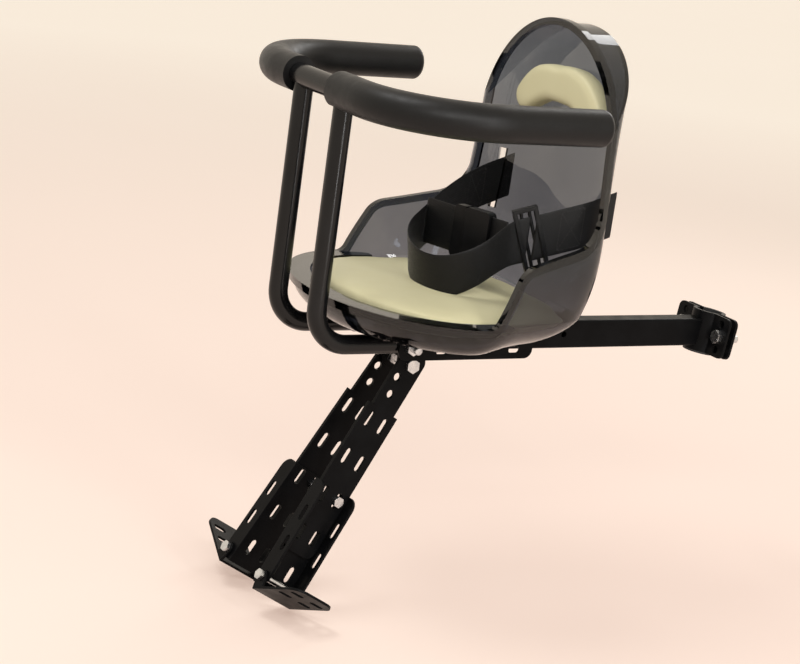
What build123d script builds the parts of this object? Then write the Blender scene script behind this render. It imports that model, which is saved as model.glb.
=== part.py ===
import os
from math import cos, radians, sin

from build123d import *

os.makedirs("parts", exist_ok=True)

# Frame: X forward along the beam, Y to the child's left, Z up, millimetres.
# Origin: centre of the seat-post bore on the centre line of the beam.

# Fits, radial or per side
POST_FIT = 0.1
RUN_FIT = 0.05
BOLT_FIT = 0.25
THREAD_FIT = 0.05
SIDE_FIT = 0.4
PLUG_FIT = 0.15
SNUG_FIT = 0.05

# Fasteners
M8_R = 4.0
M6_R = 3.0
HEX_M8 = 13.0
HEX_M6 = 10.0
HEAD_RATIO = 0.66
NUT_RATIO = 0.8

# Seat-post clamp
POST_R = 13.6
POST_LEAN = 7.0
LINER_T = 1.2
LINER_LIP = 2.0
CLAMP_T = 3.0
CLAMP_H = 44.0
CLAMP_HALF_W = 44.0
CLAMP_GAP = 6.0
CLAMP_BOLT_Y = 31.0
CLAMP_BOLT_TAIL = 14.0
CLAMP_HOLE_PITCH = 14.0
CLAMP_CORNER_R = 7.0

# Beam
BEAM_W = 20.0
BEAM_H = 30.0
BEAM_T = 1.8
BEAM_R = 2.6
BEAM_END_X = 412.0
BEAM_HOLE_R = 3.2
BEAM_HOLE_XS = (194.0, 218.0)
CAP_T = 3.0
CAP_PLUG = 14.0

# Handrail
RAIL_R = 9.5
RAIL_T = 1.5
RAIL_Y = 40.0
RAIL_Z = 2.5
RAIL_X = 508.0
RAIL_BEND = 36.0
RAIL_TAIL_X = 345.0
BAR_R = 11.0
BAR_T = 1.6
BAR_Z = 246.0
ARM_Y = 171.0
ARM_END_X = 310.0
ARM_BEND = 95.0
GRIP_R = 17.5
GRIP_OVER = 6.0
GRIP_ROUND = 6.0
GRIP_LEFT_Y = 30.0
GRIP_RIGHT_Y = 52.0
GRIP_NOTCH = 0.5

# Seat bracket
BRACKET_T = 2.5
BRACKET_X0 = 262.0
BRACKET_X1 = 418.0
BRACKET_DROP = 11.5
BRACKET_BEND = 4.0
BRACKET_CORNER = 9.0
BRACKET_HALF_W = RAIL_Y + RAIL_R + SIDE_FIT + BRACKET_T
RAIL_BOLT_X = 405.0
RAIL_BOLT_TAIL = 9.0
SLOT_W = 6.5
FLANGE_SLOT_L = 13.0
FLANGE_SLOT_XS = (284.0, 369.0)
FLANGE_HOLE_X = 316.0
FLANGE_HOLE_R = 3.8
FLANGE_SLOT_Z = -2.5

# Seat shell
WALL = 3.5
LIP = 3.5
LIP_H = 8.0
PAN_Z = BEAM_H / 2 + BRACKET_T
PAN_DEPTH = 30.0
RIM_Z = PAN_Z + PAN_DEPTH
SEAT_X = 378.0
SEAT_HALF_W = 149.0
SEAT_FRONT_X = 492.0
REAR_CORNER = 42.0
WING_TOP_X = 351.0
WING_TOP_Z = 103.0
JUNCTION_X = 254.0
JUNCTION_Z = 125.0
BACK_FRONT_X = 248.0
ARCH_Z = 320.0
ARCH_H = 125.0
ARCH_HALF_W = 115.0
LEDGE_W = 19.0
LEDGE_T = 3.5
LEDGE_X = 352.0
BELT_SLOT_Y = 94.0
BELT_SLOT_W = 9.0
BELT_SLOT_Z = 142.0
BELT_SLOT_H = 64.0

# Pads
PAD_FIT = 1.5
CUSHION_TOP = 12.0
CUSHION_CROWN_R = 900.0
CUSHION_ROUND = 4.0
CUSHION_FLOOR = 6.0
HEAD_PAD_W = 156.0
HEAD_PAD_H = 42.0
HEAD_PAD_RISE = 17.0
HEAD_PAD_Z = 257.0
HEAD_PAD_T = 20.0
HEAD_PAD_ROUND = 6.0

# Seat fixings
BRACKET_BOLT_X = 271.0
SEAT_BOLT_X = 352.0
SEAT_BOLT_TAIL = 4.0
SHELL_BOLT_X = 328.0
SHELL_BOLT_Y = 34.0
SHELL_BOLT_TAIL = 22.0

# Belt
WEB_W = 46.0
WEB_T = 1.6
WEB_FIT = 0.4
LOOP_X = 392.0
LOOP_Z = 84.5
LOOP_Y = 62.0
LOCK_X = 297.0
LOCK_Y = 70.0
LOCK_Z = 116.0
LOCK_L = 25.0
LOCK_T = 7.0
LOCK_FRAME = 4.0
LOCK_ROOM = 5.0
CROSS_AT = 0.43
CROSS_END = 0.925
BUCKLE_AT = 0.54
SLOT_FROM = 4.0
SLOT_TO = 30.0
LOCK_TILT = 20.0
LOCK_BAR_R = 1.8
BUCKLE_Z = 108.0
BUCKLE_T = 11.0
SOCKET_L = 32.0
TONGUE_L = 15.0
PRONG_L = 18.0
PRONG_W = 9.0

# Legs, each drawn on a plane: x forward, y down the leg, z outward
LEG_X = 382.0
LEG_Z = -26.5
LEG_Y = 16.5
LEG_LEAN = 30.0
LEG_SPLAY = 2.8
STRAP_T = 4.0
STRAP_W = 40.0
STRAP_TOP_W = 30.0
STRAP_TOP_L = 52.0
ROW_1 = 66.5
ROW_PITCH = 43.0
STRAP_L = ROW_1 + 3.5 * ROW_PITCH
COLUMN_GAP = 19.0
LEG_SLOT_L = 17.0
HANGER_T = 3.0
HANGER_LEN = 34.0
CHANNEL_T = 2.5
CHANNEL_W = STRAP_W + 2 * (SIDE_FIT + CHANNEL_T)
CHANNEL_DEPTH = 20.0
CHANNEL_Y0 = ROW_1 + 76.0
CHANNEL_L = 118.0
CHANNEL_ROUND = 12.0
JOINT_ROW = 3

# Footrests
HINGE_Y = CHANNEL_Y0 + CHANNEL_L - 9.0
HINGE_Z = 9.0
REST_L = 70.0
REST_T = 2.5
REST_DROP = 11.5
REST_TILT = 20.0
REST_ROUND = 14.0
EAR_R = 7.0
REST_SLOT_L = 16.0


def save(name, shape):
    shape.label = name
    export_step(shape, "parts/" + name + ".step")


def mirrored(shape):
    return mirror(shape, about=Plane.XZ)


def both_sides(name, left):
    save(name + "_left", left)
    save(name + "_right", mirrored(left))


def rod(r, start, end):
    a = Vector(*start)
    d = Vector(*end) - a
    return extrude(Plane(origin=a, z_dir=d) * Circle(r), d.length)


def hex_block(across, height):
    return extrude(RegularPolygon(across / 2, 6, major_radius=False), height)


def bolt(r, across, reach):
    head = Pos(0, 0, -2 * r * HEAD_RATIO) * hex_block(across, 2 * r * HEAD_RATIO)
    shank = Pos(0, 0, reach / 2) * Cylinder(r, reach)
    return chamfer((head + shank).edges().sort_by(Axis.Z)[-1], r / 5)


def nut(r, across):
    height = 2 * r * NUT_RATIO
    return hex_block(across, height) - Cylinder(r + THREAD_FIT, 4 * height)


def obround(length, width, turn=0.0):
    return SlotOverall(length, width, rotation=turn)


# Seat-post clamp, drawn round its own axis and then leaned back
lean = Rot(0, -POST_LEAN, 0)
bore_r = POST_R + POST_FIT
trough_r = bore_r + LINER_T
clamp_r = trough_r + CLAMP_T
flange_x = CLAMP_GAP / 2
flange = Pos(flange_x + CLAMP_T / 2, 0) * Rectangle(CLAMP_T, 2 * CLAMP_HALF_W)
half_room = Pos(flange_x + clamp_r, 0) * Rectangle(2 * clamp_r, 4 * CLAMP_HALF_W)
half_section = (Circle(clamp_r) + flange - Circle(trough_r)) & half_room
clamp_half = Pos(0, 0, -CLAMP_H / 2) * extrude(half_section, CLAMP_H)
corners = clamp_half.edges().filter_by(Axis.X).filter_by(lambda e: abs(e.center().Y) > CLAMP_HALF_W - 1)
clamp_half = fillet(corners, CLAMP_CORNER_R)
for side in (-1, 1):
    for row in (-1, 0, 1):
        at = (0, side * CLAMP_BOLT_Y, row * CLAMP_HOLE_PITCH)
        clamp_half -= Pos(*at) * Rot(0, 90, 0) * Cylinder(M8_R + BOLT_FIT, 8 * CLAMP_T)
save("clamp_front", lean * clamp_half)
save("clamp_rear", lean * mirror(clamp_half, about=Plane.YZ))
sleeve = Cylinder(trough_r, CLAMP_H) + Pos(0, 0, -CLAMP_H / 2 - LINER_LIP / 2) * Cylinder(clamp_r, LINER_LIP)
sleeve -= Cylinder(bore_r, 4 * CLAMP_H)
sleeve -= Pos(0, -clamp_r, 0) * Box(CLAMP_GAP, 2 * clamp_r, 4 * CLAMP_H)
save("clamp_liner", lean * sleeve)
clamp_grip = CLAMP_GAP + 2 * CLAMP_T
bolt_face = Plane(origin=(flange_x + CLAMP_T, CLAMP_BOLT_Y, 0), z_dir=(-1, 0, 0))
nut_face = Plane(origin=(-flange_x - CLAMP_T, CLAMP_BOLT_Y, 0), z_dir=(-1, 0, 0))
both_sides("clamp_bolt", lean * (bolt_face * bolt(M8_R, HEX_M8, clamp_grip + CLAMP_BOLT_TAIL)))
both_sides("clamp_nut", lean * (nut_face * nut(M8_R, HEX_M8)))

# Beam: coped onto the front half of the clamp, plugged at its front end
beam_face = Plane.YZ * RectangleRounded(BEAM_W, BEAM_H, BEAM_R)
beam_room = Plane.YZ * RectangleRounded(BEAM_W - 2 * BEAM_T, BEAM_H - 2 * BEAM_T, BEAM_R - BEAM_T)
beam = extrude(beam_face, BEAM_END_X) - extrude(beam_room, BEAM_END_X) - lean * Cylinder(clamp_r, 4 * BEAM_H)
beam = beam.solids().sort_by(Axis.X)[-1]
for x in BEAM_HOLE_XS:
    beam -= rod(BEAM_HOLE_R, (x, -BEAM_W, 0), (x, BEAM_W, 0))
for x in (BRACKET_BOLT_X, SEAT_BOLT_X):
    beam -= rod(M8_R + BOLT_FIT, (x, 0, -BEAM_H), (x, 0, BEAM_H))
save("main_beam", beam)
plug_face = Plane.YZ * RectangleRounded(
    BEAM_W - 2 * (BEAM_T + PLUG_FIT), BEAM_H - 2 * (BEAM_T + PLUG_FIT), BEAM_R - BEAM_T - PLUG_FIT
)
cap = Pos(BEAM_END_X, 0, 0) * (extrude(beam_face, CAP_T) + extrude(plug_face, -CAP_PLUG))
save("beam_cap", cap)

# Seat bracket: an inverted U over the beam and the two rail tails
bracket_h = BEAM_H / 2 + BRACKET_T + BRACKET_DROP
top_z = BEAM_H / 2 + BRACKET_T
outer_u = Pos(0, top_z - bracket_h / 2) * Rectangle(2 * BRACKET_HALF_W, bracket_h)
outer_u = fillet(outer_u.vertices().group_by(Axis.Y)[-1], BRACKET_BEND)
inner_u = Pos(0, top_z - BRACKET_T - bracket_h / 2) * Rectangle(2 * (BRACKET_HALF_W - BRACKET_T), bracket_h)
inner_u = fillet(inner_u.vertices().group_by(Axis.Y)[-1], BRACKET_BEND - BRACKET_T)
bracket = extrude(Plane.YZ.offset(BRACKET_X0) * (outer_u - inner_u), BRACKET_X1 - BRACKET_X0)
low_corners = bracket.edges().filter_by(Axis.Y).group_by(Axis.Z)[0]
bracket = fillet(low_corners, BRACKET_CORNER)
across = Plane.XZ.offset(-2 * BRACKET_HALF_W)
for x in FLANGE_SLOT_XS:
    bracket -= extrude(across * Pos(x, FLANGE_SLOT_Z) * obround(FLANGE_SLOT_L, SLOT_W), 4 * BRACKET_HALF_W)
bracket -= extrude(across * Pos(FLANGE_HOLE_X, FLANGE_SLOT_Z) * Circle(FLANGE_HOLE_R), 4 * BRACKET_HALF_W)
bracket -= extrude(across * Pos(RAIL_BOLT_X, RAIL_Z) * Circle(M8_R + BOLT_FIT), 4 * BRACKET_HALF_W)
for x in (BRACKET_BOLT_X, SEAT_BOLT_X):
    bracket -= rod(M8_R + BOLT_FIT, (x, 0, 0), (x, 0, 2 * top_z))
for side in (-1, 1):
    y = side * SHELL_BOLT_Y
    bracket -= rod(M6_R + BOLT_FIT, (SHELL_BOLT_X, y, 0), (SHELL_BOLT_X, y, 2 * top_z))
save("seat_bracket", bracket)

# Handrail: a bent bar with two arms on two bent uprights, foam over the arms
bar_path = FilletPolyline(
    (ARM_END_X, ARM_Y, BAR_Z), (RAIL_X, ARM_Y, BAR_Z), (RAIL_X, -ARM_Y, BAR_Z), (ARM_END_X, -ARM_Y, BAR_Z),
    radius=ARM_BEND,
)
bar_start = Plane(origin=(ARM_END_X, ARM_Y, BAR_Z), z_dir=(1, 0, 0))
bar_solid = sweep(bar_start * Circle(BAR_R), path=bar_path)
bar = bar_solid - sweep(bar_start * Circle(BAR_R - BAR_T), path=bar_path)
save("handrail_bar", bar)

rail_path = FilletPolyline(
    (RAIL_TAIL_X, RAIL_Y, RAIL_Z), (RAIL_X, RAIL_Y, RAIL_Z), (RAIL_X, RAIL_Y, BAR_Z), radius=RAIL_BEND
)
rail_start = Plane(origin=(RAIL_TAIL_X, RAIL_Y, RAIL_Z), z_dir=(1, 0, 0))
rail = sweep(rail_start * Circle(RAIL_R), path=rail_path)
rail -= sweep(rail_start * Circle(RAIL_R - RAIL_T), path=rail_path)
rail -= rod(BAR_R, (RAIL_X, -ARM_Y, BAR_Z), (RAIL_X, ARM_Y, BAR_Z))
rail -= rod(M8_R + BOLT_FIT, (RAIL_BOLT_X, 0, RAIL_Z), (RAIL_BOLT_X, 2 * RAIL_Y, RAIL_Z))
rail = rail.solids().sort_by(SortBy.VOLUME)[-1]
both_sides("handrail_upright", rail)


def grip(from_y, notch):
    end_x = ARM_END_X - GRIP_OVER
    path = FilletPolyline(
        (RAIL_X, from_y, BAR_Z), (RAIL_X, ARM_Y, BAR_Z), (end_x, ARM_Y, BAR_Z), radius=ARM_BEND
    )
    foam = sweep(Plane(origin=(RAIL_X, from_y, BAR_Z), z_dir=(0, 1, 0)) * Circle(GRIP_R), path=path)
    foam = fillet(foam.edges().group_by(Axis.X)[0], GRIP_ROUND)
    foam -= sweep(bar_start * Circle(BAR_R + SNUG_FIT), path=bar_path)
    if notch:
        foam -= rod(RAIL_R + GRIP_NOTCH, (RAIL_X, RAIL_Y, BAR_Z - 2 * GRIP_R), (RAIL_X, RAIL_Y, BAR_Z))
        foam -= Pos(RAIL_X, RAIL_Y - RAIL_R, BAR_Z - GRIP_R) * Box(
            2 * (RAIL_R + GRIP_NOTCH), 2 * RAIL_R, 2 * GRIP_R
        )
    return foam.solids().sort_by(SortBy.VOLUME)[-1]


save("grip_left", grip(GRIP_LEFT_Y, True))
save("grip_right", mirrored(grip(GRIP_RIGHT_Y, False)))
inside_y = RAIL_Y - RAIL_R
rail_grip = RAIL_R * 2 + SIDE_FIT + BRACKET_T
rail_bolt_face = Plane(origin=(RAIL_BOLT_X, inside_y, RAIL_Z), z_dir=(0, 1, 0))
rail_nut_face = Plane(origin=(RAIL_BOLT_X, BRACKET_HALF_W, RAIL_Z), z_dir=(0, 1, 0))
rail_reach = rail_grip + 2 * M8_R * NUT_RATIO + RAIL_BOLT_TAIL
both_sides("rail_bolt", rail_bolt_face * bolt(M8_R, HEX_M8, rail_reach))
both_sides("rail_nut", rail_nut_face * nut(M8_R, HEX_M8))

# Seat shell: a bucket lofted through level sections, hollowed and trimmed to the rim line
# Each station: height over the pan floor, side inset, rear end, rear half width
LOW_STATIONS = (
    (0.0, 20.0, 297.0, 108.0),
    (PAN_DEPTH / 3, 7.0, 272.0, 120.0),
    (PAN_DEPTH * 2 / 3, 2.0, 257.0, 126.0),
    (PAN_DEPTH, 0.0, 247.0, 129.0),
)
UP = 35.0
HIGH_STATIONS = (
    (PAN_DEPTH, 0.0, 247.0, 129.0),
    (PAN_DEPTH + UP, 0.0, 237.0, 131.0),
    (PAN_DEPTH + 2 * UP, 4.0, 231.5, 127.5),
    (PAN_DEPTH + 3 * UP, 10.0, 227.5, 122.0),
    (PAN_DEPTH + 4 * UP, 15.0, 224.5, 117.5),
    (PAN_DEPTH + 5 * UP, 17.0, 222.0, 114.0),
    (PAN_DEPTH + 6 * UP, 18.0, 219.5, 112.0),
    (PAN_DEPTH + 7 * UP, 19.0, 216.5, 111.0),
    (PAN_DEPTH + 8 * UP, 19.0, 213.0, 110.0),
)


def level(height, side_inset, rear_x, rear_half, inset):
    half = SEAT_HALF_W - side_inset - inset
    front = SEAT_FRONT_X - side_inset - inset - SEAT_X
    rear = rear_x + inset
    rear_w = rear_half - inset
    corner = REAR_CORNER - inset
    sides = [(SEAT_X + front * cos(radians(a)), half * sin(radians(a))) for a in (30, 60, 90)]
    sides.append(((SEAT_X + rear + corner) / 2, (half + rear_w) / 2))
    sides.append((rear + corner, rear_w))
    sides.append((rear + corner * (1 - cos(radians(45))), rear_w - corner * (1 - cos(radians(45)))))
    sides.append((rear, rear_w - corner))
    others = [(x, -y) for x, y in reversed(sides)]
    points = [(SEAT_X + front, 0)] + sides + [(rear, 0)] + others
    lift = inset * max(0.0, 1 - height / PAN_DEPTH)
    return Plane.XY.offset(PAN_Z + height + lift) * make_face(Spline(*points, periodic=True))


def bucket(inset):
    low = loft([level(*station, inset) for station in LOW_STATIONS])
    high = loft([level(*station, inset) for station in HIGH_STATIONS])
    return low + high


def arch(inset):
    low = ARCH_Z - ARCH_H
    top = Pos(0, low) * Ellipse(ARCH_HALF_W - inset, ARCH_H - inset)
    face = top + Pos(0, low - ARCH_Z / 2) * Rectangle(4 * SEAT_HALF_W, ARCH_Z)
    return extrude(Plane.YZ * face, 2 * SEAT_FRONT_X)


rim_line = Polyline(
    (2 * SEAT_FRONT_X, -ARCH_Z), (2 * SEAT_FRONT_X, RIM_Z), (SEAT_X, RIM_Z), (WING_TOP_X, WING_TOP_Z),
    (JUNCTION_X, JUNCTION_Z), (BACK_FRONT_X, 2 * ARCH_Z), (-SEAT_X, 2 * ARCH_Z), (-SEAT_X, -ARCH_Z),
    close=True,
)
kept = make_face(rim_line)
for x, z, r in ((SEAT_X, RIM_Z, 12.0), (WING_TOP_X, WING_TOP_Z, 26.0), (JUNCTION_X, JUNCTION_Z, 36.0)):
    kept = fillet(kept.vertices().sort_by_distance((x, z, 0))[0], r)
side_view = Plane.XZ.offset(-2 * SEAT_HALF_W)
kept_room = extrude(side_view * kept, 4 * SEAT_HALF_W)
band_room = extrude(side_view * (kept - offset(kept, -LIP_H)), 4 * SEAT_HALF_W)
inner = bucket(WALL)
hollow = inner & arch(WALL)


def recess(inset):
    a = SEAT_FRONT_X - SEAT_X - LEDGE_W - inset
    b = SEAT_HALF_W - LEDGE_W - inset
    face = Pos(SEAT_X, 0) * Ellipse(a, b) + Pos(SEAT_X / 2, 0) * Rectangle(SEAT_X, 2 * b)
    return extrude(face, ARCH_Z)


ledge_room = Pos((LEDGE_X + SEAT_FRONT_X) / 2, 0, RIM_Z - LEDGE_T / 2) * Box(
    SEAT_FRONT_X - LEDGE_X, 2 * SEAT_HALF_W, LEDGE_T
)
ledge = ledge_room - recess(0)
shell = (bucket(0) & arch(0)) & kept_room
lip_ring = (bucket(-LIP) & arch(-LIP)) & band_room
shell = shell + lip_ring - (hollow - ledge)
for side in (-1, 1):
    slot = Pos(0, side * BELT_SLOT_Y, BELT_SLOT_Z) * Box(4 * BACK_FRONT_X, BELT_SLOT_W, BELT_SLOT_H)
    shell -= slot & (Pos(BACK_FRONT_X - 40, 0, BELT_SLOT_Z) * Box(80, 4 * SEAT_HALF_W, 2 * BELT_SLOT_H))
    y = side * SHELL_BOLT_Y
    shell -= rod(M6_R + BOLT_FIT, (SHELL_BOLT_X, y, 0), (SHELL_BOLT_X, y, RIM_Z))
shell -= rod(M8_R + BOLT_FIT, (SEAT_BOLT_X, 0, 0), (SEAT_BOLT_X, 0, RIM_Z))
save("seat_shell", shell)

# Pads
cushion = recess(PAD_FIT) & bucket(WALL + PAD_FIT)
crown = Pos(SEAT_X, 0, RIM_Z + CUSHION_TOP - CUSHION_CROWN_R) * Sphere(CUSHION_CROWN_R)
cushion = cushion & crown
cushion -= Box(4 * SEAT_FRONT_X, 4 * SEAT_HALF_W, 2 * (PAN_Z + WALL + CUSHION_FLOOR))
save("seat_cushion", cushion)

half_h = HEAD_PAD_H / 2
half_w = HEAD_PAD_W / 2
pad_points = (
    (0, half_h), (half_w * 0.55, half_h - HEAD_PAD_RISE * 0.3), (half_w * 0.92, 0.0 - HEAD_PAD_RISE * 0.35),
    (half_w, -HEAD_PAD_RISE), (half_w * 0.9, -half_h - HEAD_PAD_RISE * 0.75),
    (half_w * 0.62, -half_h - HEAD_PAD_RISE * 0.7), (half_w * 0.3, -half_h - HEAD_PAD_RISE * 0.1), (0, -half_h),
)
pad_ring = [*pad_points] + [(-y, z) for y, z in reversed(pad_points[1:-1])]
pad_face = Plane.YZ * Pos(0, HEAD_PAD_Z) * make_face(Spline(*pad_ring, periodic=True))
pad_panel = 224.0
head_pad = extrude(pad_face, pad_panel + HEAD_PAD_T)
head_pad = fillet(head_pad.edges().group_by(Axis.X)[-1], HEAD_PAD_ROUND) & inner
save("head_pad", head_pad)

# Seat fixings: two bolts down through the beam, two beside it into the bracket
floor_z = PAN_Z + WALL
for name, x, z in (("bracket", BRACKET_BOLT_X, PAN_Z), ("seat", SEAT_BOLT_X, floor_z)):
    reach = z + BEAM_H / 2 + 2 * M8_R * NUT_RATIO + SEAT_BOLT_TAIL
    save(name + "_bolt", Plane(origin=(x, 0, z), z_dir=(0, 0, -1)) * bolt(M8_R, HEX_M8, reach))
    save(name + "_nut", Plane(origin=(x, 0, -BEAM_H / 2), z_dir=(0, 0, -1)) * nut(M8_R, HEX_M8))
shell_reach = WALL + BRACKET_T + 2 * M6_R * NUT_RATIO + SHELL_BOLT_TAIL
shell_bolt_at = Plane(origin=(SHELL_BOLT_X, SHELL_BOLT_Y, floor_z), z_dir=(0, 0, -1))
shell_nut_at = Plane(origin=(SHELL_BOLT_X, SHELL_BOLT_Y, BEAM_H / 2), z_dir=(0, 0, -1))
both_sides("shell_bolt", shell_bolt_at * bolt(M6_R, HEX_M6, shell_reach))
both_sides("shell_nut", shell_nut_at * nut(M6_R, HEX_M6))

# Belt: a strap from the right slot round the front to the ladder lock, a strap from the lock
# to the left slot, and a cross strap joined by a side-release buckle
def strap(points, start, end, level):
    spots = [Vector(p[0], p[1]) for p in map(tuple, points)]
    runs = [Vector(*start)]
    runs += [after - before for before, after in zip(spots, spots[2:])]
    runs.append(Vector(*end))
    rails = []
    for side in (-1, 1):
        track = []
        for spot, run in zip(spots, runs):
            track.append(spot + Vector(-run.Y, run.X).normalized() * (side * WEB_T / 2))
        rails.append(Spline(*track, tangents=(start, end)))
    tips = [Line(rails[0] @ t, rails[1] @ t) for t in (0, 1)]
    ribbon = make_face([rails[0].edge(), tips[1].edge(), rails[1].edge(), tips[0].edge()])
    slab = level * Box(4 * LOOP_X, 4 * LOOP_X, WEB_W * abs(level.z_dir.Z))
    return extrude(ribbon, amount=LOOP_X, dir=(0, 0, 1)) & slab


def level_through(first, second, third):
    return Plane(Face(Wire.make_polygon([first, second, third])))


slot_y = BELT_SLOT_Y - BELT_SLOT_W / 2 + WEB_T / 2 + WEB_FIT / 2
slot_xs = [BACK_FRONT_X - step for step in (SLOT_FROM, (SLOT_FROM + SLOT_TO) / 2, SLOT_TO)]
slot_left = Vector(slot_xs[1], slot_y, BELT_SLOT_Z)
slot_right = Vector(slot_xs[1], -slot_y, BELT_SLOT_Z)
lock_dir = Vector(slot_xs[0] - LOCK_X, slot_y - LOCK_Y, 0).normalized()
tilt = radians(LOCK_TILT)
lock_run = lock_dir * cos(tilt) + Vector(0, 0, sin(tilt))
lock_up = Vector(0, 0, cos(tilt)) - lock_dir * sin(tilt)
lock = Plane(origin=(LOCK_X, LOCK_Y, LOCK_Z), x_dir=lock_run, z_dir=lock_up)
loop_front = Vector(LOOP_X, LOOP_Y * 0.45, LOOP_Z)
right_level = level_through(slot_right, loop_front, lock.origin)
left_level = level_through(slot_left, lock.origin, lock.origin + Vector(lock_dir.Y, -lock_dir.X))
right_run = [(x, -slot_y) for x in reversed(slot_xs)]
right_run += [
    (LOOP_X - 100, -LOOP_Y * 1.25), (LOOP_X - 42, -LOOP_Y * 0.68), (LOOP_X - 4, -LOOP_Y * 0.06),
    (LOOP_X, LOOP_Y * 0.45), (LOOP_X - 24, LOOP_Y * 0.83), (LOOP_X - 52, LOOP_Y * 0.88),
    lock.from_local_coords((-LOCK_L, 0, 0)), lock.from_local_coords((-LOCK_L / 8, 0, 0)),
]
save("belt_right", strap(right_run, (1, 0, 0), lock_dir, right_level))
left_run = [lock.from_local_coords((LOCK_L / 8, 0, 0)), lock.from_local_coords((LOCK_L * 0.8, 0, 0))]
left_run += [(x, slot_y) for x in slot_xs]
save("belt_left", strap(left_run, lock_dir, (-1, 0, 0), left_level))
room_w = WEB_W + 2 * LOCK_ROOM
frame = Box(LOCK_L, LOCK_T, room_w + 2 * LOCK_FRAME) - Box(LOCK_L - 2 * LOCK_FRAME, 2 * LOCK_T, room_w)
frame -= Box(2 * LOCK_L, WEB_T + 4 * WEB_FIT, room_w)
for spot in (-LOCK_L / 6, LOCK_L / 6):
    frame += Pos(spot, WEB_T / 2 + WEB_FIT + LOCK_BAR_R, 0) * Cylinder(LOCK_BAR_R, room_w + LOCK_FRAME)
save("belt_lock", lock * frame)

right_line = Spline(*[Vector(p[0], p[1]) for p in map(tuple, right_run)], tangents=((1, 0, 0), lock_dir))


def sewn(share, room):
    run = right_line % share
    return right_line @ share + Vector(-run.Y, run.X) * (WEB_T / 2 + room)


cross_from = sewn(CROSS_AT, WEB_FIT)
cross_to = sewn(CROSS_END, 2 * WEB_FIT)
cross_dir = (cross_to - cross_from).normalized()
buckle_at = cross_from + (cross_to - cross_from) * BUCKLE_AT
buckle = Plane(origin=(buckle_at.X, buckle_at.Y, BUCKLE_Z), x_dir=cross_dir, z_dir=(0, 0, 1))
buckle_h = WEB_W + 2 * WEB_FIT + 6
web_room = WEB_T + 4 * WEB_FIT
socket = Pos(SOCKET_L / 2, 0, 0) * Box(SOCKET_L, BUCKLE_T, buckle_h)
socket = fillet(socket.edges().filter_by(Axis.Y), 5)
cavity_l = PRONG_L + 2
cavity_z = WEB_W / 2 - 3
socket -= Pos(cavity_l / 2, 0, 0) * Box(cavity_l, BUCKLE_T - 4, 2 * cavity_z)
socket -= Pos(SOCKET_L, 0, 0) * Box(SOCKET_L - cavity_l, web_room, WEB_W + 2 * WEB_FIT)
save("buckle_socket", buckle * socket)
tongue = Pos(-TONGUE_L / 2, 0, 0) * Box(TONGUE_L, BUCKLE_T - 2, buckle_h)
tongue = fillet(tongue.edges().filter_by(Axis.Y).group_by(Axis.X)[0], 5)
tongue -= Pos(-TONGUE_L, 0, 0) * Box(TONGUE_L, web_room, WEB_W + 2 * WEB_FIT)
for side in (-1, 1):
    z = side * (cavity_z - WEB_FIT - PRONG_W / 2)
    tongue += Pos(PRONG_L / 2, 0, z) * Box(PRONG_L, BUCKLE_T - 4 - 2 * WEB_FIT, PRONG_W)
save("buckle_tongue", buckle * tongue)
save("belt_tongue_strap", strap((
    cross_from, buckle.from_local_coords((-TONGUE_L * 2, 0, 0)), buckle.from_local_coords((-TONGUE_L * 0.7, 0, 0)),
), cross_dir, cross_dir, buckle))
save("belt_socket_strap", strap((
    buckle.from_local_coords((SOCKET_L - 2, 0, 0)), buckle.from_local_coords((SOCKET_L + 8, 0, 0)),
    cross_to,
), cross_dir, cross_dir, buckle))

# Legs
lean_a = radians(LEG_LEAN)
splay_a = radians(LEG_SPLAY)
leg_fwd = Vector(cos(lean_a), 0, sin(lean_a))
leg_out = Vector(-sin(lean_a) * sin(splay_a), cos(splay_a), cos(lean_a) * sin(splay_a))
leg = Plane(origin=(LEG_X, LEG_Y, LEG_Z), x_dir=leg_fwd, z_dir=leg_out)


def rows(first, last):
    spots = [ROW_1 + ROW_PITCH * i for i in range(first - 1, last)]
    return [(side * COLUMN_GAP / 2, y) for y in spots for side in (-1, 1)]


strap_face = Pos(0, STRAP_TOP_L / 2 - STRAP_TOP_W / 4) * Rectangle(STRAP_TOP_W, STRAP_TOP_L + STRAP_TOP_W / 2)
strap_face += Pos(0, (STRAP_TOP_L + STRAP_L) / 2) * Rectangle(STRAP_W, STRAP_L - STRAP_TOP_L)
strap_face = fillet(strap_face.vertices().group_by(Axis.Y)[0], STRAP_TOP_W / 3)
strap_face = fillet(strap_face.vertices().group_by(Axis.Y)[-1], STRAP_TOP_W / 3)
for x, y in ((0, 0), (6.5, 17.0), (3.0, 35.0)):
    strap_face -= Pos(x, y) * Circle(M8_R + BOLT_FIT)
for x, y in rows(1, 4):
    strap_face -= Pos(x, y) * obround(LEG_SLOT_L, SLOT_W, 90)
both_sides("leg_strap", leg * extrude(strap_face, STRAP_T))

channel_web = Pos(0, CHANNEL_Y0 + CHANNEL_L / 2, -CHANNEL_T / 2) * Box(CHANNEL_W, CHANNEL_L, CHANNEL_T)
for x, y in rows(3, 5):
    channel_web -= extrude(Pos(x, y) * obround(LEG_SLOT_L, SLOT_W, 90), 4 * CHANNEL_T, both=True)
wall_face = Pos(CHANNEL_Y0 + CHANNEL_L / 2, CHANNEL_DEPTH / 2 - CHANNEL_T) * Rectangle(CHANNEL_L, CHANNEL_DEPTH)
wall_face = fillet(wall_face.vertices().group_by(Axis.Y)[-1], CHANNEL_ROUND)
for y in (ROW_1 + 2.6 * ROW_PITCH, ROW_1 + 3.4 * ROW_PITCH):
    wall_face -= Pos(y, CHANNEL_DEPTH / 2) * obround(LEG_SLOT_L, SLOT_W)
wall_face -= Pos(HINGE_Y, HINGE_Z) * Circle(M6_R + RUN_FIT)
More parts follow.
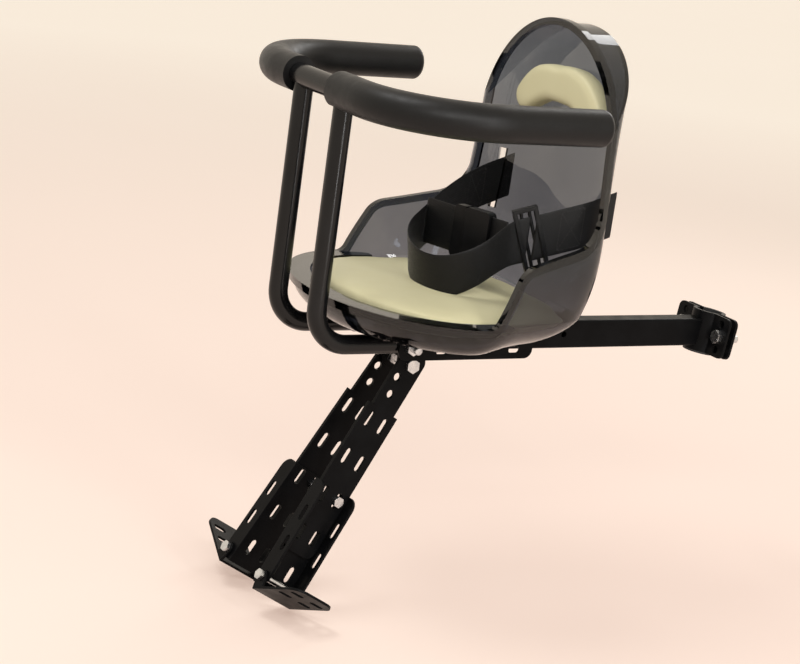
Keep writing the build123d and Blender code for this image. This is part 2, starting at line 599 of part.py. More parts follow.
wall_at = Plane(origin=(CHANNEL_W / 2 - CHANNEL_T, 0, 0), x_dir=(0, 1, 0), z_dir=(1, 0, 0))
channel_wall = extrude(wall_at * wall_face, CHANNEL_T)
channel = channel_web + channel_wall + mirror(channel_wall, about=Plane.YZ)
both_sides("leg_channel", leg * channel)

up = Vector(sin(lean_a), -cos(lean_a), 0)
cheek_up = Plane(origin=(0, 0, -HANGER_T), x_dir=(cos(lean_a), sin(lean_a), 0), z_dir=(0, 0, 1))
cheek_face = Circle(HANGER_LEN / 2 - 4) + Pos(0, -HANGER_LEN / 4) * Rectangle(HANGER_LEN - 8, HANGER_LEN / 2)
cheek_face -= Circle(M8_R + BOLT_FIT)
cheek = leg * extrude(cheek_up * cheek_face, HANGER_T)
under_beam = Pos(0, 0, -BEAM_H / 2 - BEAM_H) * Box(4 * LEG_X, 4 * BEAM_W, 2 * BEAM_H)
hanger_half_w = LEG_Y - HANGER_T / 2
hanger = Pos(LEG_X, 0, -BEAM_H / 2 - HANGER_T / 2) * Box(HANGER_LEN - 8, 2 * hanger_half_w, HANGER_T)
hanger += cheek & under_beam
hanger += mirrored(cheek & under_beam)
save("leg_hanger", hanger)

strap_out = leg.offset(STRAP_T)
leg_bolt_at = Plane(origin=strap_out.origin, x_dir=leg_fwd, z_dir=-leg_out)
leg_nut_at = Plane(origin=leg.offset(-HANGER_T).origin, x_dir=leg_fwd, z_dir=-leg_out)
both_sides("leg_bolt", leg_bolt_at * bolt(M8_R, HEX_M8, STRAP_T + HANGER_T + 2 * M8_R * NUT_RATIO))
both_sides("leg_nut", leg_nut_at * nut(M8_R, HEX_M8))

joint_x = -COLUMN_GAP / 2
joint_y = ROW_1 + (JOINT_ROW - 1) * ROW_PITCH
joint_out = leg * Pos(joint_x, joint_y, STRAP_T) * Rot(180, 0, 0)
joint_in = leg * Pos(joint_x, joint_y, -CHANNEL_T) * Rot(180, 0, 0)
both_sides("joint_bolt", joint_out * bolt(M6_R, HEX_M6, STRAP_T + CHANNEL_T + 2 * M6_R * NUT_RATIO))
both_sides("joint_nut", joint_in * nut(M6_R, HEX_M6))

# Footrests, drawn round the hinge axis: x along the hinge, y down, z outward
ear_x = CHANNEL_W / 2 + SIDE_FIT
rest_w = 2 * (ear_x + REST_T)
rest_face = Pos(0, REST_L / 2 - EAR_R) * Rectangle(rest_w, REST_L)
rest_face = fillet(rest_face.vertices().group_by(Axis.Y)[-1], REST_ROUND)
for side in (-1, 1):
    for y in (REST_L * 0.42, REST_L * 0.68):
        rest_face -= Pos(side * rest_w / 4, y) * obround(REST_SLOT_L, SLOT_W)
rest_at = Plane(origin=(0, REST_DROP + REST_T, 0), x_dir=(1, 0, 0), z_dir=(0, -1, 0))
rest = extrude(rest_at * rest_face, REST_T)
ear_face = Circle(EAR_R) + Pos(REST_DROP / 2 + REST_T / 2, 0) * Rectangle(REST_DROP + REST_T, 2 * EAR_R)
ear_face -= Circle(M6_R + RUN_FIT)
ear_at = Plane(origin=(ear_x, 0, 0), x_dir=(0, 1, 0), z_dir=(1, 0, 0))
ear = extrude(ear_at * ear_face, REST_T)
rest = rest + ear + mirror(ear, about=Plane.YZ)
hinge = leg * Pos(0, HINGE_Y, HINGE_Z)
both_sides("footrest", hinge * Rot(REST_TILT, 0, 0) * rest)
pin_half = rest_w / 2 + SIDE_FIT
pin_face = hinge * Pos(pin_half, 0, 0) * Rot(0, -90, 0)
pin_nut_face = hinge * Pos(-pin_half, 0, 0) * Rot(0, -90, 0)
both_sides("footrest_pin", pin_face * bolt(M6_R, HEX_M6, 2 * pin_half + 2 * M6_R * NUT_RATIO))
both_sides("footrest_nut", pin_nut_face * nut(M6_R, HEX_M6))
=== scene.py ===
import math

import bmesh
import bpy
import numpy as np
from mathutils import Matrix, Vector


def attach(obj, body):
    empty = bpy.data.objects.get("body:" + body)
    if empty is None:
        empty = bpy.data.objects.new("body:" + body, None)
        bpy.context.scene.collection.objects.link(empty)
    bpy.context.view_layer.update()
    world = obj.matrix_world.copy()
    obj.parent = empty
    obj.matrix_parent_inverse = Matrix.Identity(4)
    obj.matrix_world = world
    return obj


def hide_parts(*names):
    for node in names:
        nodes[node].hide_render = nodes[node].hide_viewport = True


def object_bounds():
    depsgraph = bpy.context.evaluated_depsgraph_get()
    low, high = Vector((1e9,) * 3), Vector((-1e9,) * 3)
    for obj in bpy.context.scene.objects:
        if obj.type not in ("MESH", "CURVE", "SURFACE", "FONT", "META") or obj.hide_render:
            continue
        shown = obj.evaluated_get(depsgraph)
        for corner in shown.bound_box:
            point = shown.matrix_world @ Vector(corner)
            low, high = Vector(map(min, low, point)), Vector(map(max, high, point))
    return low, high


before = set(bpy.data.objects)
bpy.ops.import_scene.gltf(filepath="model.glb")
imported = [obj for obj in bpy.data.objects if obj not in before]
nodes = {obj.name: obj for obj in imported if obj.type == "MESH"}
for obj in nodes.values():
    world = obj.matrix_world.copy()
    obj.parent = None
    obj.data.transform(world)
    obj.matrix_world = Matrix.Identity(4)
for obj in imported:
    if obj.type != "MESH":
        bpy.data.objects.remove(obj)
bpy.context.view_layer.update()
scene = bpy.context.scene

# Colours, each pair the two ends of a slight mottle
SHELL_TINT = (0.97, 0.965, 0.96, 1)
SHELL_SMOKE = (0.02, 0.08, 0.17, 1)
SMOKE_DENSITY = 520.0
PAD_CREAM = ((0.76, 0.685, 0.40), (0.81, 0.735, 0.445))
PAINT_BLACK = ((0.0035, 0.0035, 0.0038), (0.0065, 0.0065, 0.007))
# Grey of worn edges, which also serves as a painted edge highlight
EDGE_WEAR_AND_HIGHLIGHT_GREY = (0.09, 0.09, 0.093)
FOAM_BLACK = ((0.003, 0.003, 0.0032), (0.008, 0.008, 0.0084))
FOAM_BLOOM = (0.85, 0.86, 0.88, 1)
PLASTIC_BLACK = ((0.004, 0.004, 0.0043), (0.008, 0.008, 0.0084))
RUBBER_BLACK = ((0.012, 0.012, 0.012), (0.02, 0.02, 0.02))
ZINC_GREY = ((0.52, 0.53, 0.55), (0.74, 0.75, 0.76))
WEB_BLACK = ((0.002, 0.002, 0.0022), (0.009, 0.009, 0.0095))
THREAD_BLACK = ((0.008, 0.008, 0.0084), (0.022, 0.022, 0.023))
FLOOR_PEACH = ((0.60, 0.52, 0.45), (0.615, 0.535, 0.465))
GLOW_NEAR_FAR = ((0.44, 0.30, 0.245), (0.645, 0.57, 0.475))
WALL_PALE = (0.94, 0.84, 0.71, 1)
SKY_WHITE = (0.95, 0.975, 1.0, 1)

# Finish of the two paints: satin on plates and beam, glossier on the handrail's tubes; each has a
# share of edge grey that is partly wear and partly a painted edge highlight
PLATE_PAINT = {"rough": 0.34, "shine": 0.06, "wear_and_highlight": 0.35}
TUBE_PAINT = {"rough": 0.16, "shine": 0.3, "wear_and_highlight": 0.2}

# Sockets of the colour mixer, which have the same names for numbers and colours
MIX_FACTOR = 0
MIX_FIRST = 6
MIX_SECOND = 7
MIX_RESULT = 2


def shader_of(mat):
    return mat.node_tree.nodes["Principled BSDF"]


def new_material(name, **values):
    mat = bpy.data.materials.new(name)
    mat.use_nodes = True
    for key, value in values.items():
        shader_of(mat).inputs[key.replace("_", " ")].default_value = value
    return mat


def add(mat, kind, **values):
    node = mat.node_tree.nodes.new(kind)
    for key, value in values.items():
        if hasattr(node, key):
            setattr(node, key, value)
        else:
            node.inputs[key.replace("_", " ")].default_value = value
    return node


def link(mat, a, b):
    mat.node_tree.links.new(a, b)


def place(mat):
    return add(mat, "ShaderNodeTexCoord").outputs["Object"]


def noise(mat, scale, detail):
    cloud = add(mat, "ShaderNodeTexNoise", Scale=scale, Detail=detail)
    link(mat, place(mat), cloud.inputs["Vector"])
    return cloud.outputs["Fac"]


def spread(mat, value, low, high, start=0.3, stop=0.7):
    span = add(mat, "ShaderNodeMapRange", From_Min=start, From_Max=stop, To_Min=low, To_Max=high)
    link(mat, value, span.inputs["Value"])
    return span.outputs["Result"]


def vary_colour(mat, value, colours, start=0.3, stop=0.7, socket="Base Color"):
    ramp = add(mat, "ShaderNodeValToRGB")
    for end, position, colour in zip(ramp.color_ramp.elements, (start, stop), colours):
        end.position = position
        end.color = (*colour, 1)
    link(mat, value, ramp.inputs["Fac"])
    link(mat, ramp.outputs["Color"], shader_of(mat).inputs[socket])
    return ramp.outputs["Color"]


def vary_roughness(mat, value, low, high):
    link(mat, spread(mat, value, low, high), shader_of(mat).inputs["Roughness"])


def bump(mat, value, depth, strength, under=None):
    relief = add(mat, "ShaderNodeBump", Strength=strength, Distance=depth)
    link(mat, value, relief.inputs["Height"])
    if under is not None:
        link(mat, under, relief.inputs["Normal"])
    link(mat, relief.outputs["Normal"], shader_of(mat).inputs["Normal"])
    return relief.outputs["Normal"]


def soft_edge(mat, radius):
    return add(mat, "ShaderNodeBevel", samples=4, Radius=radius).outputs["Normal"]


def edge_mask(mat, rounded, start, stop):
    true = add(mat, "ShaderNodeNewGeometry")
    dot = add(mat, "ShaderNodeVectorMath", operation="DOT_PRODUCT")
    link(mat, rounded, dot.inputs[0])
    link(mat, true.outputs["Normal"], dot.inputs[1])
    return spread(mat, dot.outputs["Value"], 1.0, 0.0, start, stop)


def spot_colour(mat, mask, base, spot):
    blend = add(mat, "ShaderNodeMix", data_type="RGBA")
    link(mat, mask, blend.inputs[MIX_FACTOR])
    link(mat, base, blend.inputs[MIX_FIRST])
    blend.inputs[MIX_SECOND].default_value = (*spot, 1)
    link(mat, blend.outputs[MIX_RESULT], shader_of(mat).inputs["Base Color"])


def make_shell():
    mat = new_material(
        "smoky_shell", Base_Color=SHELL_TINT, Roughness=0.025, IOR=1.5, Transmission_Weight=1.0)
    smoke = add(mat, "ShaderNodeVolumeAbsorption", Density=SMOKE_DENSITY, Color=SHELL_SMOKE)
    link(mat, smoke.outputs["Volume"], mat.node_tree.nodes["Material Output"].inputs["Volume"])
    bump(mat, noise(mat, scale=26.0, detail=1.0), depth=0.0012, strength=0.08)
    return mat


def make_pad():
    # Leather-grain skin: small cells with a fine roughness on them
    mat = new_material("cream_pad", Sheen_Weight=0.08, Sheen_Roughness=0.5)
    vary_colour(mat, noise(mat, scale=9.0, detail=4.0), PAD_CREAM)
    vary_roughness(mat, noise(mat, scale=60.0, detail=2.0), low=0.46, high=0.58)
    cells = add(mat, "ShaderNodeTexVoronoi", feature="DISTANCE_TO_EDGE", Scale=900.0)
    link(mat, place(mat), cells.inputs["Vector"])
    grain = spread(mat, cells.outputs["Distance"], low=0.0, high=1.0, start=0.0, stop=0.25)
    skin = bump(mat, grain, depth=0.00012, strength=0.35)
    bump(mat, noise(mat, scale=2200.0, detail=2.0), depth=0.00006, strength=0.3, under=skin)
    return mat


def make_paint(name, rough, shine, wear_and_highlight):
    # Powder coat, rubbed to grey in places along the edges; this edge grey is partly wear and partly a
    # painted edge highlight
    mat = new_material(name, Specular_IOR_Level=shine)
    rounded = soft_edge(mat, radius=0.0007)
    bump(mat, noise(mat, scale=1300.0, detail=2.0), depth=0.00008, strength=0.35, under=rounded)
    vary_roughness(mat, noise(mat, scale=70.0, detail=4.0), low=rough - 0.05, high=rough + 0.08)
    base = vary_colour(mat, noise(mat, scale=40.0, detail=3.0), PAINT_BLACK)
    # Edge grey in patches: partly wear, partly a painted edge highlight
    rubbed_and_highlit = spread(mat, noise(mat, scale=420.0, detail=4.0), low=0.0, high=wear_and_highlight, start=0.5, stop=0.72)
    wear_and_highlight_spots = add(mat, "ShaderNodeMath", operation="MULTIPLY")
    link(mat, edge_mask(mat, rounded, start=0.62, stop=0.97), wear_and_highlight_spots.inputs[0])
    link(mat, rubbed_and_highlit, wear_and_highlight_spots.inputs[1])
    spot_colour(mat, wear_and_highlight_spots.outputs["Value"], base, EDGE_WEAR_AND_HIGHLIGHT_GREY)
    return mat


def make_foam():
    # Fine pores over a slight unevenness
    mat = new_material(
        "foam", Specular_IOR_Level=0.25, Sheen_Weight=0.04, Sheen_Roughness=0.4, Sheen_Tint=FOAM_BLOOM)
    vary_colour(mat, noise(mat, scale=1800.0, detail=2.0), FOAM_BLACK)
    vary_roughness(mat, noise(mat, scale=120.0, detail=3.0), low=0.36, high=0.46)
    pores = add(mat, "ShaderNodeTexVoronoi", Scale=1500.0)
    link(mat, place(mat), pores.inputs["Vector"])
    skin = bump(mat, pores.outputs["Distance"], depth=0.00016, strength=0.4)
    bump(mat, noise(mat, scale=160.0, detail=3.0), depth=0.0004, strength=0.15, under=skin)
    return mat


def make_plastic():
    mat = new_material("black_plastic", Specular_IOR_Level=0.2)
    rounded = soft_edge(mat, radius=0.0009)
    bump(mat, noise(mat, scale=2600.0, detail=2.0), depth=0.00007, strength=0.4, under=rounded)
    vary_roughness(mat, noise(mat, scale=90.0, detail=3.0), low=0.3, high=0.42)
    vary_colour(mat, noise(mat, scale=30.0, detail=3.0), PLASTIC_BLACK)
    return mat


def make_liner():
    mat = new_material("liner_rubber")
    bump(mat, noise(mat, scale=1500.0, detail=2.0), depth=0.0001, strength=0.4)
    vary_roughness(mat, noise(mat, scale=90.0, detail=3.0), low=0.6, high=0.75)
    vary_colour(mat, noise(mat, scale=60.0, detail=3.0), RUBBER_BLACK)
    return mat


def make_zinc():
    # Plated steel with fine turning lines
    mat = new_material("zinc", Metallic=1.0)
    rounded = soft_edge(mat, radius=0.0005)
    stretch = add(mat, "ShaderNodeMapping", Scale=(700.0, 700.0, 3500.0))
    link(mat, place(mat), stretch.inputs["Vector"])
    lines = add(mat, "ShaderNodeTexNoise", Scale=1.0, Detail=2.0)
    link(mat, stretch.outputs["Vector"], lines.inputs["Vector"])
    bump(mat, lines.outputs["Fac"], depth=0.00008, strength=0.3, under=rounded)
    vary_roughness(mat, noise(mat, scale=260.0, detail=3.0), low=0.2, high=0.36)
    vary_colour(mat, noise(mat, scale=150.0, detail=3.0), ZINC_GREY)
    return mat


def make_webbing():
    # Slanting ribs crossed by finer threads that run along the strap
    rib_angle = math.radians(58)
    thread_share = 0.45
    mat = new_material("webbing", Specular_IOR_Level=0.24, Sheen_Weight=0.08, Sheen_Roughness=0.35)
    weave = add(mat, "ShaderNodeUVMap", uv_map="weave").outputs["UV"]
    ribs = add(mat, "ShaderNodeTexWave", Scale=200.0, Distortion=0.6, Detail=1.0, Detail_Scale=3.0)
    turn = add(mat, "ShaderNodeMapping", Rotation=(0, 0, rib_angle))
    link(mat, weave, turn.inputs["Vector"])
    link(mat, turn.outputs["Vector"], ribs.inputs["Vector"])
    threads = add(mat, "ShaderNodeTexWave", bands_direction="Y", Scale=420.0, Distortion=0.4)
    link(mat, weave, threads.inputs["Vector"])
    total = add(mat, "ShaderNodeMath", operation="MULTIPLY_ADD")
    link(mat, threads.outputs["Fac"], total.inputs[0])
    total.inputs[1].default_value = thread_share
    link(mat, ribs.outputs["Fac"], total.inputs[2])
    bump(mat, total.outputs["Value"], depth=0.00022, strength=0.6)
    vary_colour(mat, total.outputs["Value"], WEB_BLACK, start=0.2, stop=1.2)
    vary_roughness(mat, noise(mat, scale=300.0, detail=3.0), low=0.38, high=0.52)
    return mat


def make_thread():
    mat = new_material("thread", Roughness=0.45)
    bump(mat, noise(mat, scale=2500.0, detail=2.0), depth=0.00005, strength=0.5)
    vary_colour(mat, noise(mat, scale=400.0, detail=2.0), THREAD_BLACK)
    return mat


def seen_rays(mat):
    rays = add(mat, "ShaderNodeLightPath")
    seen = rays.outputs["Is Camera Ray"]
    for kind in ("Is Glossy Ray", "Is Transmission Ray"):
        either = add(mat, "ShaderNodeMath", operation="MAXIMUM")
        link(mat, seen, either.inputs[0])
        link(mat, rays.outputs[kind], either.inputs[1])
        seen = either.outputs["Value"]
    return seen


def make_floor():
    # Peach near the seat and paler with distance; the glow shows, also in metal and
    # through the shell, but adds no light to matt surfaces
    mat = new_material("floor_pale", Roughness=0.75)
    vary_colour(mat, noise(mat, scale=1.5, detail=2.0), FLOOR_PEACH)
    away = add(mat, "ShaderNodeVectorMath", operation="LENGTH")
    link(mat, place(mat), away.inputs[0])
    distance = spread(mat, away.outputs["Value"], low=0.0, high=1.0, start=0.2, stop=4.0)
    vary_colour(mat, distance, GLOW_NEAR_FAR, start=0.0, stop=1.0, socket="Emission Color")
    link(mat, seen_rays(mat), shader_of(mat).inputs["Emission Strength"])
    return mat


finishes = {
    "smoky_shell": make_shell(),
    "cream_pad": make_pad(),
    "foam": make_foam(),
    "webbing": make_webbing(),
    "black_plastic": make_plastic(),
    "liner_rubber": make_liner(),
    "zinc": make_zinc(),
    "black_paint": make_paint("black_paint", **PLATE_PAINT),
}
thread = make_thread()
tube_paint = make_paint("tube_paint", **TUBE_PAINT)
for name, obj in nodes.items():
    slot = obj.data.materials[0].name.split(".")[0]
    obj.data.materials.clear()
    obj.data.materials.append(tube_paint if name.startswith("handrail") else finishes[slot])


# Pieces
def new_piece(name, mesh, slot):
    obj = bpy.data.objects.new(name, mesh)
    scene.collection.objects.link(obj)
    mesh.materials.clear()
    mesh.materials.append(finishes[slot])
    for face in mesh.polygons:
        face.use_smooth = True
    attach(obj, "frame")
    return obj


def baked(obj):
    graph = bpy.context.evaluated_depsgraph_get()
    return bpy.data.meshes.new_from_object(obj.evaluated_get(graph))


def co_of(mesh):
    co = np.zeros(len(mesh.vertices) * 3)
    mesh.vertices.foreach_get("co", co)
    return co.reshape(-1, 3)


def set_co(mesh, co):
    mesh.vertices.foreach_set("co", co.astype(np.float32).ravel())
    mesh.update()


# Pads, filled like a balloon from a slightly smaller copy of their solids
WELD = 1e-5
RELAX_PULL = 0.5
PUFF_STEPS = 20
PUFF_QUALITY = 5
PUFF_PRESSURE = 4.0
PUFF_STIFFNESS = 25.0
PUFF_RELAX = 3
TINY = 1e-9


def relax(mesh, rounds):
    shape = bmesh.new()
    shape.from_mesh(mesh)
    axes = {"use_axis_" + axis: True for axis in "xyz"}
    for _ in range(rounds):
        bmesh.ops.smooth_vert(shape, verts=shape.verts, factor=RELAX_PULL, **axes)
    shape.to_mesh(mesh)
    shape.free()


def welded_copy(node, name):
    shape = bmesh.new()
    shape.from_mesh(nodes[node].data)
    bmesh.ops.remove_doubles(shape, verts=shape.verts, dist=WELD)
    mesh = bpy.data.meshes.new(name)
    shape.to_mesh(mesh)
    shape.free()
    return mesh


def puff(obj, cap):
    rest = co_of(obj.data)
    cloth = obj.modifiers.new("cloth", "CLOTH")
    cloth.settings.quality = PUFF_QUALITY
    cloth.settings.use_pressure = True
    cloth.settings.uniform_pressure_force = PUFF_PRESSURE
    cloth.settings.tension_stiffness = PUFF_STIFFNESS
    cloth.settings.effector_weights.gravity = 0.0
    for step in range(1, PUFF_STEPS + 1):
        scene.frame_set(step)
    move = co_of(baked(obj)) - rest
    obj.modifiers.clear()
    scene.frame_set(1)
    size = np.linalg.norm(move, axis=1, keepdims=True)
    set_co(obj.data, rest + move * np.minimum(1.0, cap / np.maximum(size, TINY)))
    relax(obj.data, PUFF_RELAX)


def stuffed(node, name, voxel, inset, rounds, cap):
    obj = bpy.data.objects.new(name + "_start", welded_copy(node, name))
    scene.collection.objects.link(obj)
    mesher = obj.modifiers.new("remesh", "REMESH")
    mesher.mode = "VOXEL"
    mesher.voxel_size = voxel
    obj.data = baked(obj)
    obj.modifiers.clear()
    relax(obj.data, rounds)
    normals = np.array([v.normal for v in obj.data.vertices])
    set_co(obj.data, co_of(obj.data) - normals * inset)
    puff(obj, cap)
    smoother = obj.modifiers.new("smooth", "SUBSURF")
    smoother.levels = 1
    mesh = baked(obj)
    bpy.data.objects.remove(obj)
    pad = new_piece(name, mesh, "cream_pad")
    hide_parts(node)


stuffed("seat_cushion", "cushion", voxel=0.004, inset=0.0028, rounds=5, cap=0.0024)
stuffed("head_pad", "headrest", voxel=0.0025, inset=0.0016, rounds=4, cap=0.0014)


# Belt webbing, on the same lines as its solids, with the slack of real webbing
WEB_W = 0.046
WEB_T = 0.0015
WEB_POINTS = 15
EDGE_POWER = 14
EDGE_THIN = 0.04
LINE_STEP = 0.0025
RIPPLE_SHORT = 0.021
RIPPLE_LONG = 0.057
RIPPLE_MIDDLE = 0.4
RIPPLE_SHARE = 0.5
RIPPLE = 0.0002
LOOP_RIPPLE = 0.0003

SLOT_Y = 0.0905
SLOT_Z = 0.142
SLOT_XS = (0.244, 0.231, 0.218)
LOOP_X = 0.392
LOOP_Y = 0.062
LOOP_Z = 0.0845
# Points of the front loop: distance behind its foremost point, and share of its half width
LOOP_TURN = ((0.100, -1.25), (0.042, -0.68), (0.004, -0.06), (0.0, 0.45), (0.014, 0.92), (0.046, 1.12))
LOOP_FRONT = 0.45
SAG = 0.014
SAG_SPAN = (0.5, 0.97)
LEAN = math.radians(16)
LEAN_SPAN = (0.42, 0.97)

# Ladder lock; the straps enter at its mouth and are held near its middle
LOCK = np.array((0.297, 0.070, 0.116))
LOCK_L = 0.025
LOCK_TILT = math.radians(20)
LOCK_MOUTH = 0.5
LOCK_HOLD = 0.125
LOCK_CLEAR = 0.8

# Inner strand with the buckle
CROSS_FROM = np.array((0.3501, -0.0406))
CROSS_TO = np.array((0.3227, 0.0583))
CROSS_Z = 0.108
CROSS_SLACK = 0.005
BUCKLE_AT = 0.54
SOCKET_L = 0.032
SOCKET_IN = 0.002
TONGUE_L = 0.015
TONGUE_OUT = 0.7

# Box seams: a stitched box with both diagonals, from start to stop along the strap
SEAM_LEFT = (0.024, 0.046)
SEAM_RIGHT = (0.036, 0.058)
SEAM_IN = 0.004
STITCH_PITCH = 0.0034
STITCH_L = 0.0026
STITCH_SIDES = 6
STITCH_RINGS = 5
THREAD_R = 0.0003
STEEP = 0.9
UP = Vector((0, 0, 1))


def run_length(points):
    return np.concatenate(([0.0], np.cumsum(np.linalg.norm(np.diff(points, axis=0), axis=1))))


def smooth_line(points, start, end):
    # Cubic curve through the points, with given directions at its two ends
    p = np.array(points, float)
    t = run_length(p)
    n = len(p)
    h = np.diff(t)
    grid = np.zeros((n, n))
    right = np.zeros((n, 2))
    grid[0, 0] = grid[-1, -1] = 1.0
    right[0] = start
    right[-1] = end
    for i in range(1, n - 1):
        grid[i, i - 1] = h[i]
        grid[i, i] = 2 * (h[i - 1] + h[i])
        grid[i, i + 1] = h[i - 1]
        right[i] = 3 * (h[i] * (p[i] - p[i - 1]) / h[i - 1] + h[i - 1] * (p[i + 1] - p[i]) / h[i])
    slope = np.linalg.solve(grid, right)
    at = np.linspace(0.0, t[-1], int(t[-1] / LINE_STEP) + 2)
    k = np.clip(np.searchsorted(t, at, side="right") - 1, 0, n - 2)
    u = ((at - t[k]) / h[k])[:, None]
    hk = h[k][:, None]
    line = (2 * u**3 - 3 * u**2 + 1) * p[k] + (u**3 - 2 * u**2 + u) * hk * slope[k]
    return line + (-2 * u**3 + 3 * u**2) * p[k + 1] + (u**3 - u**2) * hk * slope[k + 1]


def plane_height(first, second, third):
    a, b, c = (np.array(q, float) for q in (first, second, third))
    normal = np.cross(b - a, c - a)
    return lambda xy: a[2] - ((xy - a[:2]) @ normal[:2]) / normal[2]


def swell(at, start, stop):
    return np.sin(math.pi * np.clip((at - start) / (stop - start), 0, 1)) ** 2


def webbing(name, node, line, level, lean, ripple):
    run = np.gradient(line, axis=0)
    run /= np.linalg.norm(run, axis=1, keepdims=True)
    out = np.stack((-run[:, 1], run[:, 0]), axis=1)
    length = run_length(line)
    across = np.sin(np.linspace(-math.pi / 2, math.pi / 2, WEB_POINTS))
    thick = WEB_T / 2 * np.sqrt(np.maximum(EDGE_THIN, 1 - np.abs(across) ** EDGE_POWER))
    ring = list(zip(across, thick)) + list(zip(across[::-1], -thick[::-1]))
    verts = []
    uvs = []
    for i in range(len(line)):
        sway = ripple * math.sin(length[i] / RIPPLE_SHORT) * math.sin(length[i] / RIPPLE_LONG)
        for v, d in ring:
            rise = v * WEB_W / 2
            aside = d + sway * (v * v - RIPPLE_MIDDLE) * RIPPLE_SHARE - rise * math.sin(lean[i])
            verts.append((*(line[i] + out[i] * aside), level[i] + rise * math.cos(lean[i])))
            uvs.append((length[i], rise))
    ring_n = len(ring)
    faces = []
    for i in range(len(line) - 1):
        here = i * ring_n
        ahead = here + ring_n
        for j in range(ring_n):
            k = (j + 1) % ring_n
            faces.append((here + j, ahead + j, ahead + k, here + k))
    faces.append(tuple(range(ring_n)))
    faces.append(tuple(reversed(range((len(line) - 1) * ring_n, len(line) * ring_n))))
    mesh = bpy.data.meshes.new(name)
    mesh.from_pydata(verts, [], faces)
    layer = mesh.uv_layers.new(name="weave")
    for loop in mesh.loops:
        layer.data[loop.index].uv = uvs[loop.vertex_index]
    shape = bmesh.new()
    shape.from_mesh(mesh)
    bmesh.ops.recalc_face_normals(shape, faces=shape.faces)
    shape.to_mesh(mesh)
    shape.free()
    strap = new_piece(name, mesh, "webbing")
    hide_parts(node)


def sewing(name, line, level, start, stop):
    length = run_length(line)

    def on_strap(at, v):
        x = np.interp(at, length, line[:, 0])
        y = np.interp(at, length, line[:, 1])
        return np.array([x, y, np.interp(at, length, level) + v])

    edge = WEB_W / 2 - SEAM_IN
    box = ((start, -edge), (stop, -edge), (stop, edge), (start, edge))
    rows = [(box[k], box[(k + 1) % 4]) for k in range(4)]
    rows += [(box[0], box[2]), (box[1], box[3])]
    strap_run = Vector(on_strap(stop, 0) - on_strap(start, 0))
    shape = bmesh.new()
    for first, last in rows:
        a, b = np.array(first), np.array(last)
        count = int(np.linalg.norm(b - a) / STITCH_PITCH)
        for k in range(count):
            middle = on_strap(*(a + (b - a) * (k + 0.5) / count))
            before = on_strap(*(a + (b - a) * k / count))
            run = Vector(middle - before).normalized()
            out = (run if abs(run.z) < STEEP else strap_run).cross(UP)
            out.normalize()
            up = out.cross(run)
            axes = ((run, STITCH_L / 2), (up, THREAD_R), (out, THREAD_R))
            for side in (-1, 1):
                spot = Vector(middle) + out * (side * WEB_T / 2)
                rows_of_turn = [[axis[i] * size for axis, size in axes] + [spot[i]] for i in range(3)]
                turn = Matrix(rows_of_turn + [[0, 0, 0, 1]])
                bmesh.ops.create_uvsphere(
                    shape, u_segments=STITCH_SIDES, v_segments=STITCH_RINGS, radius=1.0, matrix=turn)
    mesh = bpy.data.meshes.new(name)
    shape.to_mesh(mesh)
    shape.free()
    new_piece(name, mesh, "webbing")
    mesh.materials[0] = thread


lock_dir = np.array((SLOT_XS[0] - LOCK[0], SLOT_Y - LOCK[1]))
lock_dir /= np.linalg.norm(lock_dir)
lock_side = np.array((lock_dir[1], -lock_dir[0]))
lock_run = lock_dir * math.cos(LOCK_TILT) * LOCK_L
slot_right = (SLOT_XS[1], -SLOT_Y, SLOT_Z)
slot_left = (SLOT_XS[1], SLOT_Y, SLOT_Z)
right_height = plane_height(slot_right, (LOOP_X, LOOP_Y * LOOP_FRONT, LOOP_Z), LOCK)
left_height = plane_height(slot_left, LOCK, (*(LOCK[:2] + lock_side), LOCK[2]))

right_run = [(x, -SLOT_Y) for x in reversed(SLOT_XS)]
right_run += [(LOOP_X - back, LOOP_Y * share) for back, share in LOOP_TURN]
right_run += [LOCK[:2] - lock_run * LOCK_MOUTH, LOCK[:2] - lock_run * LOCK_HOLD]
right_line = smooth_line(right_run, (1, 0), lock_dir)
right_level = right_height(right_line)
along = np.linspace(0, 1, len(right_line))
right_sagged = right_level - SAG * swell(along, *SAG_SPAN)
right_lean = LEAN * swell(along, *LEAN_SPAN)
webbing("strap_right", "belt_right", right_line, right_sagged, right_lean, LOOP_RIPPLE)

left_run = [LOCK[:2] + lock_run * LOCK_HOLD, LOCK[:2] + lock_run * LOCK_CLEAR]
left_run += [(x, SLOT_Y) for x in SLOT_XS]
left_line = smooth_line(left_run, lock_dir, (-1, 0))
left_level = left_height(left_line)
webbing("strap_left", "belt_left", left_line, left_level, np.zeros(len(left_line)), RIPPLE)
sewing("seam_left", left_line, left_level, *SEAM_LEFT)
sewing("seam_right", right_line, right_level, *SEAM_RIGHT)

cross_dir = (CROSS_TO - CROSS_FROM) / np.linalg.norm(CROSS_TO - CROSS_FROM)
buckle = CROSS_FROM + (CROSS_TO - CROSS_FROM) * BUCKLE_AT
for name, first, last in (
    ("tongue", CROSS_FROM, buckle - cross_dir * TONGUE_L * TONGUE_OUT),
    ("socket", buckle + cross_dir * (SOCKET_L - SOCKET_IN), CROSS_TO + cross_dir * CROSS_SLACK),
):
    line = smooth_line((first, (first + last) / 2, last), cross_dir, cross_dir)
    flat = np.zeros(len(line))
    webbing("strap_" + name, "belt_" + name + "_strap", line, flat + CROSS_Z, flat, RIPPLE)


# Camera
AZIMUTH, ELEVATION, ROLL = (math.radians(x) for x in (147.63, 14.27, 8.05))
CAMERA_ASIDE = -0.3293
CAMERA_RISE = 0.0065
CAMERA_AWAY = 2.347
CAMERA_DROP = Vector((0, 0, -0.0095))
SENSOR_W = 36.0
LENS = 97.155

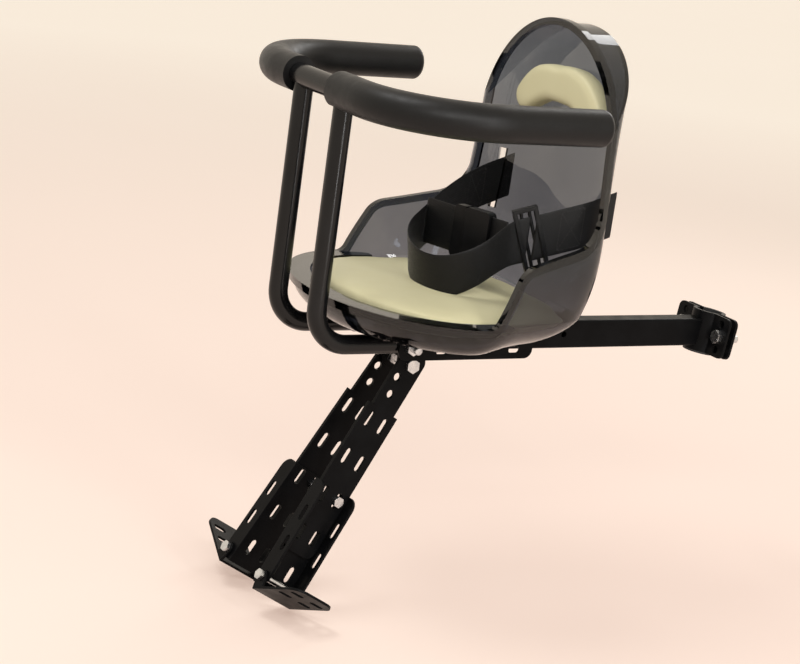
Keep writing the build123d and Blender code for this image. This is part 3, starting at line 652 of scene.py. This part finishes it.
level_out = math.cos(ELEVATION)
toward = Vector((math.sin(AZIMUTH) * level_out, -math.cos(AZIMUTH) * level_out, math.sin(ELEVATION)))
right = UP.cross(toward).normalized()
up = toward.cross(right)
right, up = right * math.cos(ROLL) + up * math.sin(ROLL), up * math.cos(ROLL) - right * math.sin(ROLL)
spot = right * CAMERA_ASIDE + up * CAMERA_RISE + toward * CAMERA_AWAY + CAMERA_DROP
lens = bpy.data.cameras.new("camera")
lens.sensor_fit = "HORIZONTAL"
lens.sensor_width = SENSOR_W
lens.lens = LENS
camera = bpy.data.objects.new("camera", lens)
camera.matrix_world = Matrix((
    (right.x, up.x, toward.x, spot.x), (right.y, up.y, toward.y, spot.y),
    (right.z, up.z, toward.z, spot.z), (0, 0, 0, 1)))
scene.collection.objects.link(camera)
scene.camera = camera

# Floor
FLOOR_REACH = 20.0
FLOOR_GAP = 0.001
FLOOR_CORNERS = ((-1, -1), (1, -1), (1, 1), (-1, 1))
low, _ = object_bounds()
floor_z = low.z - FLOOR_GAP
floor_mesh = bpy.data.meshes.new("floor")
corners = [(x * FLOOR_REACH, y * FLOOR_REACH, floor_z) for x, y in FLOOR_CORNERS]
floor_mesh.from_pydata(corners, [], [(0, 1, 2, 3)])
floor = bpy.data.objects.new("floor", floor_mesh)
scene.collection.objects.link(floor)
floor_mesh.materials.append(make_floor())

# Light: a dim white sky, a pale backdrop that shows in its place, and four soft lamps
SKY_STRENGTH = 0.38
CENTRE = Vector((0.28, 0.0, 0.05))
world = bpy.data.worlds.new("studio")
world.use_nodes = True
sky = world.node_tree.nodes["Background"]
sky.inputs["Color"].default_value = SKY_WHITE
sky.inputs["Strength"].default_value = SKY_STRENGTH
wall = add(world, "ShaderNodeBackground", Color=WALL_PALE)
choice = add(world, "ShaderNodeMixShader")
link(world, seen_rays(world), choice.inputs[0])
link(world, sky.outputs["Background"], choice.inputs[1])
link(world, wall.outputs["Background"], choice.inputs[2])
link(world, choice.outputs["Shader"], world.node_tree.nodes["World Output"].inputs["Surface"])
scene.world = world


def lamp(name, offset, size, power):
    data = bpy.data.lights.new(name, "AREA")
    data.shape = "RECTANGLE"
    data.size, data.size_y = size
    data.energy = power
    obj = bpy.data.objects.new(name, data)
    obj.location = CENTRE + Vector(offset)
    obj.rotation_mode = "QUATERNION"
    obj.rotation_quaternion = (-Vector(offset)).to_track_quat("-Z", "Y")
    scene.collection.objects.link(obj)


lamp("key", offset=(0.9, -0.3, 1.7), size=(0.9, 0.6), power=12.5)
lamp("front", offset=(0.95, 1.5, 1.1), size=(1.1, 0.35), power=13.0)
lamp("strip", offset=(-0.1, 1.9, 0.5), size=(0.2, 1.7), power=14.0)
lamp("back", offset=(-1.4, -0.9, 1.1), size=(0.5, 1.2), power=8.0)

scene.view_settings.view_transform = "Standard"
